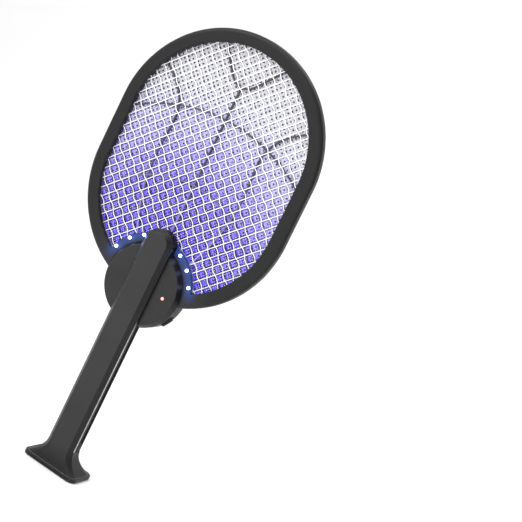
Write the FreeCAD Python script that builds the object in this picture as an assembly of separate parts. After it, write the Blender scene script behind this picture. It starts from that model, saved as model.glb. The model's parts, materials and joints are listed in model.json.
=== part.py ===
"""Electric fly swatter with a head that slides along its handle.

Origin: centre of the underside of the foot. +Z runs up the handle, -Y is the front, +X is to the right.
The model is drawn at rest with the head slid out to the top of the handle. Lengths are in millimetres.
"""
import FreeCAD
import Part

import math
import os

from FreeCAD import Vector

# ---- driving dimensions -------------------------------------------------------------------------
HANDLE_WIDTH = 30.5
HANDLE_TOP = 252.0
SHELL_FRONT_Y = -16.5          # front face of the handle
SHELL_REAR_Y = -10.5           # joint between the front shell and the rail
RAIL_REAR_Y = 1.6              # back of the handle
RAIL_INSET = 0.5               # the rail is this much narrower than the shell on each side
SLOPE_WIDTH = 4.35             # the shell's sides slope outwards from its narrower front face
SLOPE_DEPTH = 5.2
RIDGE_ROUND = 1.2
FOOT_WIDTH = 61.0
FOOT_DEPTH = 40.0
FOOT_CORNER = 8.0
FLARE_TOP = 24.0               # where the handle starts to open out into the foot
LIP_TOP = 4.4                  # thin upright lip round the foot
LIP_BOTTOM = 0.4               # the rubber pad stands this much proud of the lip

HUB_RADIUS = 40.5
HUB_FACE_RADIUS = 37.8         # the hub narrows towards its front face
HUB_REST_Z = 195.0             # hub centre with the head slid out
HEAD_TRAVEL = 129.0            # the head slides down this far to its lamp position
HUB_FACE_Y = -8.5
HUB_REAR_Y = 15.6
HUB_EDGE = 1.5
RIM_RADIUS = 106.0             # half of the head's width
RIM_FACE = 13.4                # width of the rim seen from the front
LOWER_ARC_Z = 94.5             # centres of the two end arcs, above the hub's centre
UPPER_ARC_Z = 150.5
RIM_FRONT_Y = -1.5
RIM_REAR_Y = 11.3
RIM_EDGE = 3.9
COLLAR_RADIUS = 48.8           # low collar round the hub that carries the lamps

WALL = 2.0
FRONT_SKIN = 1.6               # wall of the front housing over the hollow of the rim
REAR_SKIN = 1.3
SLIDE_GAP = 0.1                # running clearance of every sliding face
SCREW_GAP = 0.05

STACK_FRONT_Y = 3.0            # front of the stack of screens and webs
GUARD_THICKNESS = 0.8
GRID_THICKNESS = 1.0
GUARD_PITCH = 8.25             # across the flats of a diamond, wire centre to wire centre
GUARD_WIRE = 0.9
GRID_PITCH = 7.4
GRID_WIRE = 0.8
BORDER = 3.9                   # solid border of each screen, held under the rim
RIB_WIDTH = 1.5

LAMP_CIRCLE = 46.4
LAMP_ANGLES = (24.0, 44.0, 63.0, 117.0, 136.0, 156.0)
LAMP_RADIUS = 1.5
INDICATOR_X = 26.4
INDICATOR_Z = -0.8
SWITCH_ANGLE = -31.0
SWITCH_TRAVEL = 2.0            # each way from the middle position
KNOB_LENGTH = 11.0
KNOB_THICKNESS = 4.0
KNOB_PROUD = 2.4
PORT_ANGLE = -150.0

# ---- dimensions worked out from those above -----------------------------------------------------
HALF_HANDLE = HANDLE_WIDTH / 2
HALF_RAIL = HALF_HANDLE - RAIL_INSET
TOP_ARC_Z = HANDLE_TOP - HALF_HANDLE
CHANNEL_HALF = HALF_RAIL + SLIDE_GAP
CHANNEL_FLOOR_Y = RAIL_REAR_Y + SLIDE_GAP
STACK_REAR_Y = RIM_REAR_Y - REAR_SKIN
SEAM_Y = (STACK_FRONT_Y + STACK_REAR_Y) / 2    # joint between the front and rear housings
OPENING_RADIUS = RIM_RADIUS - RIM_FACE
SCREEN_RADIUS = OPENING_RADIUS + BORDER
SCREEN_COLLAR = COLLAR_RADIUS - 1.5
GRID_FRONT_Y = SEAM_Y - GRID_THICKNESS / 2
GRID_REAR_Y = SEAM_Y + GRID_THICKNESS / 2

TONGUE_HALF_LENGTH = 33.0      # guide tongues in the hub's channel
TONGUE_FRONT_Y = -5.2
TONGUE_REAR_Y = -2.4
TONGUE_REACH = 1.5
GROOVE_TOP = HUB_REST_Z + TONGUE_HALF_LENGTH + SLIDE_GAP
GROOVE_BOTTOM = HUB_REST_Z - HEAD_TRAVEL - TONGUE_HALF_LENGTH - SLIDE_GAP

HANDLE_SCREW_Z = (45.0, 136.0, 220.0)
FOOT_SCREW_X = 20.0
HUB_SCREWS = ((30.0, 14.0), (-30.0, 14.0), (19.0, -28.5), (-19.0, -28.5))
HUB_SCREW_SUNK = 2.2           # depth of the pockets for the heads of the hub's screws
HUB_SCREW_TIP_Y = HUB_FACE_Y + 5.0
RIM_SCREW_ANGLES_UP = (20.0, 65.0, 115.0, 160.0)
RIM_SCREW_ANGLES_DOWN = (-20.0, -52.0, -128.0, -160.0)
RIM_SCREW_RADIUS = RIM_RADIUS - 5.5
RIM_SCREW_SUNK = 1.4

BOARD_THICKNESS = 1.6
BOARD_REAR_Y = HUB_REAR_Y - WALL - 0.8
BOARD_FRONT_Y = BOARD_REAR_Y - BOARD_THICKNESS
BOARD_RADIUS = 37.5


# ---- helpers ------------------------------------------------------------------------------------
def box(x0, x1, y0, y1, z0, z1):
    """A block between two corners."""
    return Part.makeBox(x1 - x0, y1 - y0, z1 - z0, Vector(x0, y0, z0))


def rod(radius, x, z, y0, y1):
    """A cylinder along Y from y0 to y1."""
    return Part.makeCylinder(radius, y1 - y0, Vector(x, y0, z), Vector(0, 1, 0))


def arc(p, q, r):
    """An edge through three points."""
    return Part.Arc(p, q, r).toShape()


def fuse(shapes):
    """One solid out of overlapping solids, with no leftover seam edges."""
    return shapes[0].multiFuse(shapes[1:]).removeSplitter()


def plate(wire, y0, y1):
    """The area inside a wire drawn in a plane of constant Y, as a plate from y0 to y1."""
    face = Part.Face(wire)
    face.translate(Vector(0, y0 - face.BoundBox.YMin, 0))
    return face.extrude(Vector(0, y1 - y0, 0))


def polar(radius, degrees):
    """x and z of a point at a radius and an angle from +X."""
    a = math.radians(degrees)
    return radius * math.cos(a), radius * math.sin(a)


def turned(shape, degrees):
    """A shape drawn along +X, turned about the hub's axis."""
    shape.rotate(Vector(0, 0, 0), Vector(0, 1, 0), -degrees)
    return shape


def stadium(radius, y=0.0):
    """The head's outline, offset so that its end arcs have this radius, hub at the origin."""
    low_right = Vector(radius, y, LOWER_ARC_Z)
    low_left = Vector(-radius, y, LOWER_ARC_Z)
    high_right = Vector(radius, y, UPPER_ARC_Z)
    high_left = Vector(-radius, y, UPPER_ARC_Z)
    bottom = arc(low_left, Vector(0, y, LOWER_ARC_Z - radius), low_right)
    right = Part.makeLine(low_right, high_right)
    top = arc(high_right, Vector(0, y, UPPER_ARC_Z + radius), high_left)
    left = Part.makeLine(high_left, low_left)
    return Part.Wire([bottom, right, top, left])


def rounded_edges(shape, y, radius):
    """Rounds the edges that lie wholly in the plane of constant Y."""
    picked = [e for e in shape.Edges if abs(e.BoundBox.YMin - y) < 1e-4 and abs(e.BoundBox.YMax - y) < 1e-4]
    return shape.makeFillet(radius, picked)


def screw(x, z, head_y, tip_y, shank, head, head_height, drive):
    """A pan-head screw along Y, with its head towards tip_y's far side and a cross recess in the head."""
    away = 1 if head_y > tip_y else -1
    low, high = sorted((head_y, tip_y))
    body = rod(shank, x, z, low, high)
    top_low, top_high = sorted((head_y, head_y + away * head_height))
    cap = rod(head, x, z, top_low, top_high)
    rim = [e for e in cap.Edges if abs(e.BoundBox.YMin - (head_y + away * head_height)) < 1e-6
           and abs(e.BoundBox.YMax - (head_y + away * head_height)) < 1e-6]
    cap = cap.makeFillet(head_height * 0.4, rim)
    recess_low, recess_high = sorted((head_y + away * head_height * 0.45, head_y + away * (head_height + 1)))
    slot_a = box(x - drive, x + drive, recess_low, recess_high, z - drive / 4, z + drive / 4)
    slot_b = box(x - drive / 4, x + drive / 4, recess_low, recess_high, z - drive, z + drive)
    return body.fuse(cap).cut(slot_a.fuse(slot_b))


def bent_wire(points, radius):
    """A round wire through a list of corners."""
    shapes = []
    for start, end in zip(points, points[1:]):
        run = end - start
        shapes.append(Part.makeCylinder(radius, run.Length, start, run))
    for corner in points[1:-1]:
        shapes.append(Part.makeSphere(radius, corner))
    return fuse(shapes)


# ---- handle -------------------------------------------------------------------------------------
def handle_outline(half_width, bottom_z):
    """The handle seen from the front: straight sides and a half-round top."""
    a = Vector(-half_width, 0, bottom_z)
    b = Vector(-half_width, 0, TOP_ARC_Z)
    c = Vector(half_width, 0, TOP_ARC_Z)
    d = Vector(half_width, 0, bottom_z)
    top = arc(b, Vector(0, 0, TOP_ARC_Z + half_width), c)
    return Part.Wire([Part.makeLine(a, b), top, Part.makeLine(c, d), Part.makeLine(d, a)])


def level_outline(half_width, front_y, rear_y, front_corner, rear_corner, z):
    """A horizontal outline of four lines and four corner arcs. Corners are given as (width, depth, bulge)."""
    turns = ((1, rear_y, rear_corner), (-1, rear_y, rear_corner),
             (-1, front_y, front_corner), (1, front_y, front_corner))
    edges = []
    last = None
    first = None
    for index, (side, y, (width, depth, bulge)) in enumerate(turns):
        inward = 1 if y == front_y else -1
        on_side = Vector(side * half_width, y + inward * depth, z)
        on_end = Vector(side * (half_width - width), y, z)
        middle = (on_side + on_end) * 0.5 + Vector(side * width, -inward * depth, 0) * bulge
        start, end = (on_side, on_end) if index % 2 == 0 else (on_end, on_side)
        if last is None:
            first = start
        else:
            edges.append(Part.makeLine(last, start))
        edges.append(arc(start, middle, end))
        last = end
    edges.append(Part.makeLine(last, first))
    return Part.Wire(edges)


ROUND_BULGE = math.sqrt(0.5) - 0.5             # how far a quarter circle's middle stands out of its chord


def rounded_rectangle(width, depth, corner, z):
    """A horizontal rounded rectangle centred on the Z axis."""
    round_corner = (corner, corner, ROUND_BULGE)
    return level_outline(width / 2, -depth / 2, depth / 2, round_corner, round_corner, z)


def foot_flare():
    """The handle opening out into the foot along a parabola, then a thin upright lip."""
    steps = 7
    lip_round = 1.0
    drop = FLARE_TOP - LIP_TOP + lip_round
    sections = []
    for i in range(steps):
        t = 1 - i / (steps - 1)
        swell = t * t

        def blend(at_top, at_foot):
            return at_top + (at_foot - at_top) * swell

        corner = FOOT_CORNER - lip_round
        front = (blend(SLOPE_WIDTH, corner), blend(SLOPE_DEPTH, corner), blend(0.02, ROUND_BULGE))
        rear = (blend(1.0, corner), blend(1.0, corner), ROUND_BULGE)
        sections.append(level_outline(blend(HALF_HANDLE, FOOT_WIDTH / 2 - lip_round),
                                      blend(SHELL_FRONT_Y, lip_round - FOOT_DEPTH / 2),
                                      blend(RAIL_REAR_Y, FOOT_DEPTH / 2 - lip_round),
                                      front, rear, FLARE_TOP - drop * t))
    flare = Part.makeLoft(sections, True, False)
    lip_face = Part.Face(rounded_rectangle(FOOT_WIDTH, FOOT_DEPTH, FOOT_CORNER, LIP_BOTTOM))
    lip = lip_face.extrude(Vector(0, 0, LIP_TOP - LIP_BOTTOM))
    level_edges = [e for e in lip.Edges if e.BoundBox.ZLength < 1e-4]
    return fuse([flare, lip.makeFillet(lip_round * 0.9, level_edges)])


def sloped(front_half, front_y, rear_half, rear_y, bottom_z):
    """The handle's outline growing from a narrow front to a wider back."""
    front = handle_outline(front_half, bottom_z)
    front.translate(Vector(0, front_y, 0))
    rear = handle_outline(rear_half, bottom_z)
    rear.translate(Vector(0, rear_y, 0))
    return Part.makeLoft([front, rear], True, True)


BASE_RECESS_TOP = 3.4
BASE_PLATE_BOTTOM = 1.2


def handle_front_shell():
    """Front half of the handle, moulded in one piece with the flared foot."""
    slope_rear_y = SHELL_FRONT_Y + SLOPE_DEPTH
    face_half = HALF_HANDLE - SLOPE_WIDTH
    front = sloped(face_half, SHELL_FRONT_Y, HALF_HANDLE, slope_rear_y, FLARE_TOP)
    ridges = [e for e in front.Edges
              if e.BoundBox.YMax < SHELL_FRONT_Y + 1e-4 and e.BoundBox.ZMax > FLARE_TOP + 1]
    front = front.makeFillet(RIDGE_ROUND, ridges)
    front = front.fuse(plate(handle_outline(HALF_HANDLE, FLARE_TOP), slope_rear_y, SHELL_REAR_Y))
    hollow = sloped(face_half - 0.45 * WALL, SHELL_FRONT_Y + WALL,
                    HALF_HANDLE - 1.1 * WALL, SHELL_REAR_Y, FLARE_TOP + WALL)
    for z in HANDLE_SCREW_Z:
        hollow = hollow.cut(rod(3.4, 0, z, SHELL_FRONT_Y, SHELL_REAR_Y))
    shell = foot_flare().fuse(front.cut(hollow))
    for z in HANDLE_SCREW_Z:
        shell = shell.cut(rod(1.5 + SCREW_GAP, 0, z, SHELL_FRONT_Y + WALL + 0.5, SHELL_REAR_Y))
    recess = Part.Face(rounded_rectangle(FOOT_WIDTH - 6, FOOT_DEPTH - 6, FOOT_CORNER - 3, 0))
    shell = shell.cut(recess.extrude(Vector(0, 0, BASE_RECESS_TOP)))
    inner_corner = (3.0, 3.0, ROUND_BULGE)
    cavity = Part.Face(level_outline(HALF_HANDLE - 1.8 * WALL, SHELL_FRONT_Y + WALL, RAIL_REAR_Y - WALL,
                                     inner_corner, inner_corner, BASE_RECESS_TOP - 1))
    shell = shell.cut(cavity.extrude(Vector(0, 0, FLARE_TOP - 2 * WALL - BASE_RECESS_TOP)))
    for side in (-1, 1):
        pilot = Part.makeCylinder(1.5 + SCREW_GAP, 5.6, Vector(side * FOOT_SCREW_X, 0, BASE_RECESS_TOP - 1))
        shell = shell.cut(pilot)
    return shell


def handle_rail():
    """Rear half of the handle: a hollow rail with a groove down each side for the hub's tongues."""
    rail = plate(handle_outline(HALF_RAIL, FLARE_TOP), SHELL_REAR_Y, RAIL_REAR_Y)
    back_edges = [e for e in rail.Edges
                  if e.BoundBox.YMin > RAIL_REAR_Y - 1e-4 and e.BoundBox.ZMax > FLARE_TOP + 1]
    rail = rail.makeFillet(1.5, back_edges)
    hollow = plate(handle_outline(HALF_RAIL - 3.0, FLARE_TOP + WALL), SHELL_REAR_Y, RAIL_REAR_Y - WALL)
    rail = rail.cut(hollow)
    posts = [rod(4.2, 0, z, SHELL_REAR_Y, RAIL_REAR_Y - 1) for z in HANDLE_SCREW_Z]
    rail = fuse([rail] + posts)
    for side in (-1, 1):
        outer = side * (HALF_RAIL + 1)
        inner = side * (CHANNEL_HALF - TONGUE_REACH - 2 * SLIDE_GAP)
        groove = box(min(inner, outer), max(inner, outer), TONGUE_FRONT_Y - SLIDE_GAP,
                     TONGUE_REAR_Y + SLIDE_GAP, GROOVE_BOTTOM, GROOVE_TOP)
        rail = rail.cut(groove)
    for z in HANDLE_SCREW_Z:
        rail = rail.cut(rod(1.5 + SCREW_GAP, 0, z, SHELL_REAR_Y, RAIL_REAR_Y))
        rail = rail.cut(rod(3.1, 0, z, RAIL_REAR_Y - 3, RAIL_REAR_Y))
    return rail


def handle_screws():
    """Three screws that pull the rail on to the front shell, their heads sunk in the rail's back."""
    tip = SHELL_FRONT_Y + WALL + 0.8
    return [screw(0, z, RAIL_REAR_Y - 3, tip, 1.5, 2.9, 2.2, 1.6) for z in HANDLE_SCREW_Z]


def foot_base_plate():
    """Plate that closes the foot from below."""
    outline = rounded_rectangle(FOOT_WIDTH - 6.2, FOOT_DEPTH - 6.2, FOOT_CORNER - 3.1, BASE_PLATE_BOTTOM)
    face = Part.Face(outline)
    base = face.extrude(Vector(0, 0, BASE_RECESS_TOP - BASE_PLATE_BOTTOM))
    for side in (-1, 1):
        x = side * FOOT_SCREW_X
        base = base.cut(Part.makeCylinder(1.5 + SCREW_GAP, 5, Vector(x, 0, 0)))
        base = base.cut(Part.makeCylinder(3.0, BASE_PLATE_BOTTOM + 1.4, Vector(x, 0, 0)))
    return base


def foot_base_screws():
    """Two screws that hold the base plate up into the foot."""
    screws = []
    for side in (-1, 1):
        one = screw(0, 0, 0, 5.2, 1.5, 2.8, 1.3, 1.5)
        one.rotate(Vector(0, 0, 0), Vector(1, 0, 0), 90)
        one.translate(Vector(side * FOOT_SCREW_X, 0, BASE_PLATE_BOTTOM + 1.4))
        screws.append(one)
    return screws


def foot_pad():
    """Rubber pad stuck under the base plate, with four grip grooves."""
    face = Part.Face(rounded_rectangle(FOOT_WIDTH - 8, FOOT_DEPTH - 8, FOOT_CORNER - 4, 0))
    pad = face.extrude(Vector(0, 0, BASE_PLATE_BOTTOM))
    for y in (-9.5, -3.5, 3.5, 9.5):
        pad = pad.cut(box(-FOOT_WIDTH / 2 + 8, FOOT_WIDTH / 2 - 8, y - 0.6, y + 0.6, 0, 0.5))
    return pad


# ---- head, drawn with the hub's centre at the origin --------------------------------------------
def opening():
    """The screened opening, cut right through a housing, with a small bevel on both faces."""
    bevel = 0.8
    hole = plate(stadium(OPENING_RADIUS), HUB_FACE_Y, HUB_REAR_Y)
    flares = []
    for face_y, inward in ((RIM_FRONT_Y, 1), (RIM_REAR_Y, -1)):
        mouth = stadium(OPENING_RADIUS + bevel, face_y)
        throat = stadium(OPENING_RADIUS, face_y + inward * bevel)
        flares.append(Part.makeLoft([mouth, throat], True, True))
    return fuse([hole] + flares).cut(rod(COLLAR_RADIUS, 0, 0, HUB_FACE_Y - 1, HUB_REAR_Y + 1))


def slot_for_knob(y0, y1):
    """Slot in the hub's side wall that the switch knob travels in."""
    half = KNOB_LENGTH / 2 + SWITCH_TRAVEL + SLIDE_GAP
    return turned(box(HUB_RADIUS - 8, HUB_RADIUS + 5, y0, y1, -half, half), SWITCH_ANGLE)


def hub_front(radius, face_radius, face_y, rear_y):
    """The hub's round body: a taper up to the rim's front, then straight back to the seam."""
    taper = Part.makeCone(face_radius, radius, RIM_FRONT_Y - face_y, Vector(0, face_y, 0), Vector(0, 1, 0))
    return fuse([taper, rod(radius, 0, 0, RIM_FRONT_Y, rear_y)])


def front_housing():
    """Front moulding of the head: rim, lamp collar and the hub with the channel the handle slides in."""
    rim = rounded_edges(plate(stadium(RIM_RADIUS), RIM_FRONT_Y, SEAM_Y), RIM_FRONT_Y, RIM_EDGE)
    hub = rounded_edges(hub_front(HUB_RADIUS, HUB_FACE_RADIUS, HUB_FACE_Y, SEAM_Y), HUB_FACE_Y, HUB_EDGE)
    body = fuse([rim, hub])
    channel_outside = CHANNEL_HALF + WALL
    channel_box = box(-channel_outside, channel_outside, HUB_FACE_Y, STACK_FRONT_Y, -HUB_RADIUS, HUB_RADIUS)
    hub_hollow = hub_front(HUB_RADIUS - WALL, HUB_FACE_RADIUS - WALL, HUB_FACE_Y + WALL, SEAM_Y)
    hub_hollow = hub_hollow.cut(channel_box)
    rim_hollow = plate(stadium(RIM_RADIUS - WALL), STACK_FRONT_Y, SEAM_Y)
    lightening = plate(stadium(RIM_RADIUS - WALL), RIM_FRONT_Y + FRONT_SKIN, STACK_FRONT_Y)
    lightening = lightening.cut(plate(stadium(SCREEN_RADIUS), RIM_FRONT_Y, STACK_FRONT_Y + 1))
    lightening = lightening.cut(rod(HUB_RADIUS, 0, 0, RIM_FRONT_Y, STACK_FRONT_Y + 1))
    body = body.cut(hub_hollow)
    body = body.cut(rim_hollow)
    body = body.cut(lightening)
    body = body.cut(opening())
    reach = COLLAR_RADIUS + 5
    body = body.cut(box(-CHANNEL_HALF, CHANNEL_HALF, HUB_FACE_Y - 1, CHANNEL_FLOOR_Y, -reach, reach))
    added = []
    for side in (-1, 1):
        outer = side * (CHANNEL_HALF + 0.5)
        inner = side * (CHANNEL_HALF - TONGUE_REACH)
        added.append(box(min(inner, outer), max(inner, outer), TONGUE_FRONT_Y, TONGUE_REAR_Y,
                         -TONGUE_HALF_LENGTH, TONGUE_HALF_LENGTH))
    for x, z in HUB_SCREWS:
        added.append(rod(3.0, x, z, HUB_FACE_Y + WALL - 0.5, SEAM_Y))
    for x, z in rim_screw_places():
        added.append(rod(2.6, x, z, RIM_FRONT_Y + FRONT_SKIN - 0.5, SEAM_Y))
    body = fuse([body] + added)
    for x, z in HUB_SCREWS:
        body = body.cut(rod(1.25 + SCREW_GAP, x, z, HUB_SCREW_TIP_Y - 1, SEAM_Y))
    for x, z in rim_screw_places():
        body = body.cut(rod(0.95 + SCREW_GAP, x, z, STACK_FRONT_Y - 1, SEAM_Y))
    for angle in LAMP_ANGLES:
        x, z = polar(LAMP_CIRCLE, angle)
        body = body.cut(rod(LAMP_RADIUS + SCREW_GAP, x, z, RIM_FRONT_Y - 1, STACK_FRONT_Y + 1))
    body = body.cut(rod(1.5 + SCREW_GAP, INDICATOR_X, INDICATOR_Z, HUB_FACE_Y - 1, HUB_FACE_Y + WALL + 1))
    half = KNOB_THICKNESS / 2 + SLIDE_GAP
    return body.cut(slot_for_knob(SEAM_Y - half, SEAM_Y))


def rear_housing():
    """Rear moulding of the head: back of the rim, and the shallow dish that closes the hub."""
    rim = rounded_edges(plate(stadium(RIM_RADIUS), SEAM_Y, RIM_REAR_Y), RIM_REAR_Y, RIM_EDGE)
    hub = rounded_edges(rod(HUB_RADIUS, 0, 0, SEAM_Y, HUB_REAR_Y), HUB_REAR_Y, HUB_EDGE)
    body = fuse([rim, hub])
    body = body.cut(rod(HUB_RADIUS - WALL, 0, 0, SEAM_Y, HUB_REAR_Y - WALL))
    body = body.cut(plate(stadium(RIM_RADIUS - WALL), SEAM_Y, STACK_REAR_Y))
    body = body.cut(opening())
    added = [rod(3.0, x, z, SEAM_Y, HUB_REAR_Y - WALL + 0.5) for x, z in HUB_SCREWS]
    added += [rod(2.6, x, z, SEAM_Y, STACK_REAR_Y + 0.5) for x, z in rim_screw_places()]
    body = fuse([body] + added)
    for x, z in HUB_SCREWS:
        body = body.cut(rod(1.25 + SCREW_GAP, x, z, SEAM_Y, HUB_REAR_Y))
        body = body.cut(rod(2.6, x, z, HUB_REAR_Y - HUB_SCREW_SUNK, HUB_REAR_Y + 1))
    for x, z in rim_screw_places():
        body = body.cut(rod(0.95 + SCREW_GAP, x, z, SEAM_Y, RIM_REAR_Y))
        body = body.cut(rod(1.9, x, z, RIM_REAR_Y - RIM_SCREW_SUNK, RIM_REAR_Y + 1))
    port = box(HUB_RADIUS - 9, HUB_RADIUS + 5, BOARD_FRONT_Y - 3.4, BOARD_FRONT_Y, -4.6, 4.6)
    body = body.cut(turned(port, PORT_ANGLE))
    half = KNOB_THICKNESS / 2 + SLIDE_GAP
    return body.cut(slot_for_knob(SEAM_Y, SEAM_Y + half))


def rim_screw_places():
    """Screws round both end arcs of the rim."""
    places = []
    for arc_z, angles in ((UPPER_ARC_Z, RIM_SCREW_ANGLES_UP), (LOWER_ARC_Z, RIM_SCREW_ANGLES_DOWN)):
        for angle in angles:
            x, z = polar(RIM_SCREW_RADIUS, angle)
            places.append((x, arc_z + z))
    return places


def hub_screws():
    """Four screws that hold the two halves of the hub together from behind."""
    head_y = HUB_REAR_Y - HUB_SCREW_SUNK
    return [screw(x, z, head_y, HUB_SCREW_TIP_Y, 1.25, 2.4, 1.7, 1.4) for x, z in HUB_SCREWS]


def rim_screws():
    """Small screws round the back of the rim."""
    head_y = RIM_REAR_Y - RIM_SCREW_SUNK
    return [screw(x, z, head_y, STACK_FRONT_Y - 0.6, 0.95, 1.7, 1.0, 1.0) for x, z in rim_screw_places()]


def screen_profile(y):
    """Outer shape shared by the three screens and the two webs: the rim's opening plus a border."""
    return plate(stadium(SCREEN_RADIUS), y, y + 1).cut(rod(SCREEN_COLLAR, 0, 0, y - 1, y + 2))


def flat_face(solid, y):
    """The face of a plate that lies in the plane of constant Y."""
    return [f for f in solid.Faces if f.BoundBox.YMax < y + 1e-4][0]


def in_opening(x, z, margin):
    """True if a point is inside the screened opening by at least this margin."""
    centre_z = min(max(z, LOWER_ARC_Z), UPPER_ARC_Z)
    clear_of_rim = math.hypot(x, z - centre_z) < OPENING_RADIUS - margin
    return clear_of_rim and math.hypot(x, z) > COLLAR_RADIUS + margin


def screen(y0, thickness, pitch, wire, tilt, tab_x):
    """A sheet of square cells turned by tilt degrees, with a solid border and a solder tab at the hub."""
    reach = (pitch - wire) / 2 * math.sqrt(2)
    opening_face = flat_face(plate(stadium(OPENING_RADIUS), y0, y0 + 1)
                             .cut(rod(COLLAR_RADIUS, 0, 0, y0 - 1, y0 + 2)), y0)
    along_x, along_z = polar(1, tilt)
    u = Vector(along_x, 0, along_z)
    v = Vector(-along_z, 0, along_x)
    half = (pitch - wire) / 2
    middle = Vector(0, y0, (LOWER_ARC_Z + UPPER_ARC_Z) / 2)
    count = int(UPPER_ARC_Z / pitch) + 14
    holes = []
    for i in range(-count, count + 1):
        for j in range(-count, count + 1):
            centre = middle + u * (i * pitch) + v * (j * pitch)
            if not in_opening(centre.x, centre.z, -reach):
                continue
            corners = [centre + u * a + v * b
                       for a, b in ((-half, -half), (half, -half), (half, half), (-half, half))]
            cell = Part.makePolygon(corners + corners[:1])
            if in_opening(centre.x, centre.z, reach):
                holes.append(cell)
                continue
            for face in Part.Face(cell).common(opening_face).Faces:
                if face.Area > wire * wire * 4:
                    holes.append(face.OuterWire)
    tab_top = math.sqrt(SCREEN_COLLAR ** 2 - tab_x ** 2) + 0.4
    tab = box(tab_x - 2, tab_x + 2, y0, y0 + 1, TAB_BOTTOM, tab_top)
    sheet = flat_face(fuse([screen_profile(y0), tab]), y0)
    face = Part.makeFace([sheet.OuterWire] + holes, "Part::FaceMakerBullseye")
    return face.extrude(Vector(0, thickness, 0))


TAB_BOTTOM = 44.0
LEAD_X = 8.0


def front_guard_mesh():
    """Outer diamond screen at the front."""
    return screen(STACK_FRONT_Y, GUARD_THICKNESS, GUARD_PITCH, GUARD_WIRE, 45, -LEAD_X)


def rear_guard_mesh():
    """Outer diamond screen at the back."""
    return screen(STACK_REAR_Y - GUARD_THICKNESS, GUARD_THICKNESS, GUARD_PITCH, GUARD_WIRE, 45, LEAD_X)


def high_voltage_grid():
    """Middle screen, with upright square cells, that carries the high voltage."""
    return screen(GRID_FRONT_Y, GRID_THICKNESS, GRID_PITCH, GRID_WIRE, 0, 0)


def curved_rib(points, y0, y1):
    """A flat rib of constant width that follows a smooth curve through points of x and z."""
    curve = Part.BSplineCurve()
    curve.interpolate([Vector(x, y0, z) for x, z in points])
    sides = ([], [])
    samples = 14
    for i in range(samples + 1):
        t = curve.FirstParameter + (curve.LastParameter - curve.FirstParameter) * i / samples
        place = curve.value(t)
        along = curve.tangent(t)[0]
        across = Vector(along.z, 0, -along.x) * (RIB_WIDTH / 2)
        sides[0].append(place + across)
        sides[1].append(place - across)
    edges = []
    for side in sides:
        spline = Part.BSplineCurve()
        spline.interpolate(side)
        edges.append(spline.toShape())
    start = Part.makeLine(sides[0][0], sides[1][0])
    end = Part.makeLine(sides[0][-1], sides[1][-1])
    return plate(Part.Wire([edges[0], end, edges[1], start]), y0, y1)


WEB_RINGS = (104.0, 172.0)     # radii of the cobweb's cross threads, about the hub
WEB_APEX = 205.0               # the spoke on the centre line ends here, in a wide U
WEB_CUP = ((0, 205), (7, 207), (14, 213), (22, 223), (30, 234), (36, 246))
WEB_SPOKE = ((30, 36), (41, 63), (48, 92), (49.5, 119), (48, 141), (50.5, 166), (60, 180), (84, 197))


def spacer_web(y0, y1):
    """Insulating frame between two screens: a border and ribs laid out like a cobweb."""
    opening_hole = plate(stadium(OPENING_RADIUS), y0, y1).cut(rod(COLLAR_RADIUS, 0, 0, y0 - 1, y1 + 1))
    outline = plate(stadium(SCREEN_RADIUS), y0, y1).cut(rod(SCREEN_COLLAR, 0, 0, y0 - 1, y1 + 1))
    border = outline.cut(opening_hole)
    ribs = [box(-RIB_WIDTH / 2, RIB_WIDTH / 2, y0, y1, HUB_RADIUS, WEB_APEX)]
    for radius in WEB_RINGS:
        ring = rod(radius + RIB_WIDTH / 2, 0, 0, y0, y1)
        ribs.append(ring.cut(rod(radius - RIB_WIDTH / 2, 0, 0, y0, y1)))
    for side in (-1, 1):
        ribs.append(curved_rib([(side * x, z) for x, z in WEB_CUP], y0, y1))
        ribs.append(curved_rib([(side * x, z) for x, z in WEB_SPOKE], y0, y1))
    return fuse([border] + [rib.common(outline) for rib in ribs])


def front_spacer_web():
    """Cobweb frame between the front guard and the live grid."""
    return spacer_web(STACK_FRONT_Y + GUARD_THICKNESS, GRID_FRONT_Y)


def rear_spacer_web():
    """Cobweb frame between the live grid and the rear guard."""
    return spacer_web(GRID_REAR_Y, STACK_REAR_Y - GUARD_THICKNESS)


# ---- lamps and electronics ----------------------------------------------------------------------
def uv_lamps():
    """Six small round lamps that look out of the collar round the hub."""
    lamps = []
    for angle in LAMP_ANGLES:
        x, z = polar(LAMP_CIRCLE, angle)
        dome_y = RIM_FRONT_Y - 0.6
        dome = Part.makeSphere(LAMP_RADIUS, Vector(x, dome_y, z))
        lamps.append(fuse([dome, rod(LAMP_RADIUS, x, z, dome_y, STACK_FRONT_Y)]))
    return lamps


def lamp_boards():
    """Two curved circuit boards behind the collar, one on each side, that carry three lamps each."""
    rear_y = STACK_FRONT_Y + 1
    ring = rod(SCREEN_COLLAR - 0.2, 0, 0, STACK_FRONT_Y, rear_y).cut(
        rod(HUB_RADIUS + 1, 0, 0, STACK_FRONT_Y, rear_y))
    boards = []
    for first, last in ((15, 74), (106, 165)):
        corners = [Vector(0, STACK_FRONT_Y, 0)]
        for angle in (first, (first + last) / 2, last):
            x, z = polar(HUB_RADIUS * 2, angle)
            corners.append(Vector(x, STACK_FRONT_Y, z))
        wedge = plate(Part.makePolygon(corners + corners[:1]), STACK_FRONT_Y, rear_y)
        boards.append(ring.common(wedge).Solids[0])
    return boards


def main_board():
    """Round circuit board at the back of the hub, notched for the housing's screw posts."""
    board = rod(BOARD_RADIUS, 0, 0, BOARD_FRONT_Y, BOARD_REAR_Y)
    for x, z in HUB_SCREWS:
        board = board.cut(rod(3.6, x, z, BOARD_FRONT_Y, BOARD_REAR_Y))
    return board.Solids[0]


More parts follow.
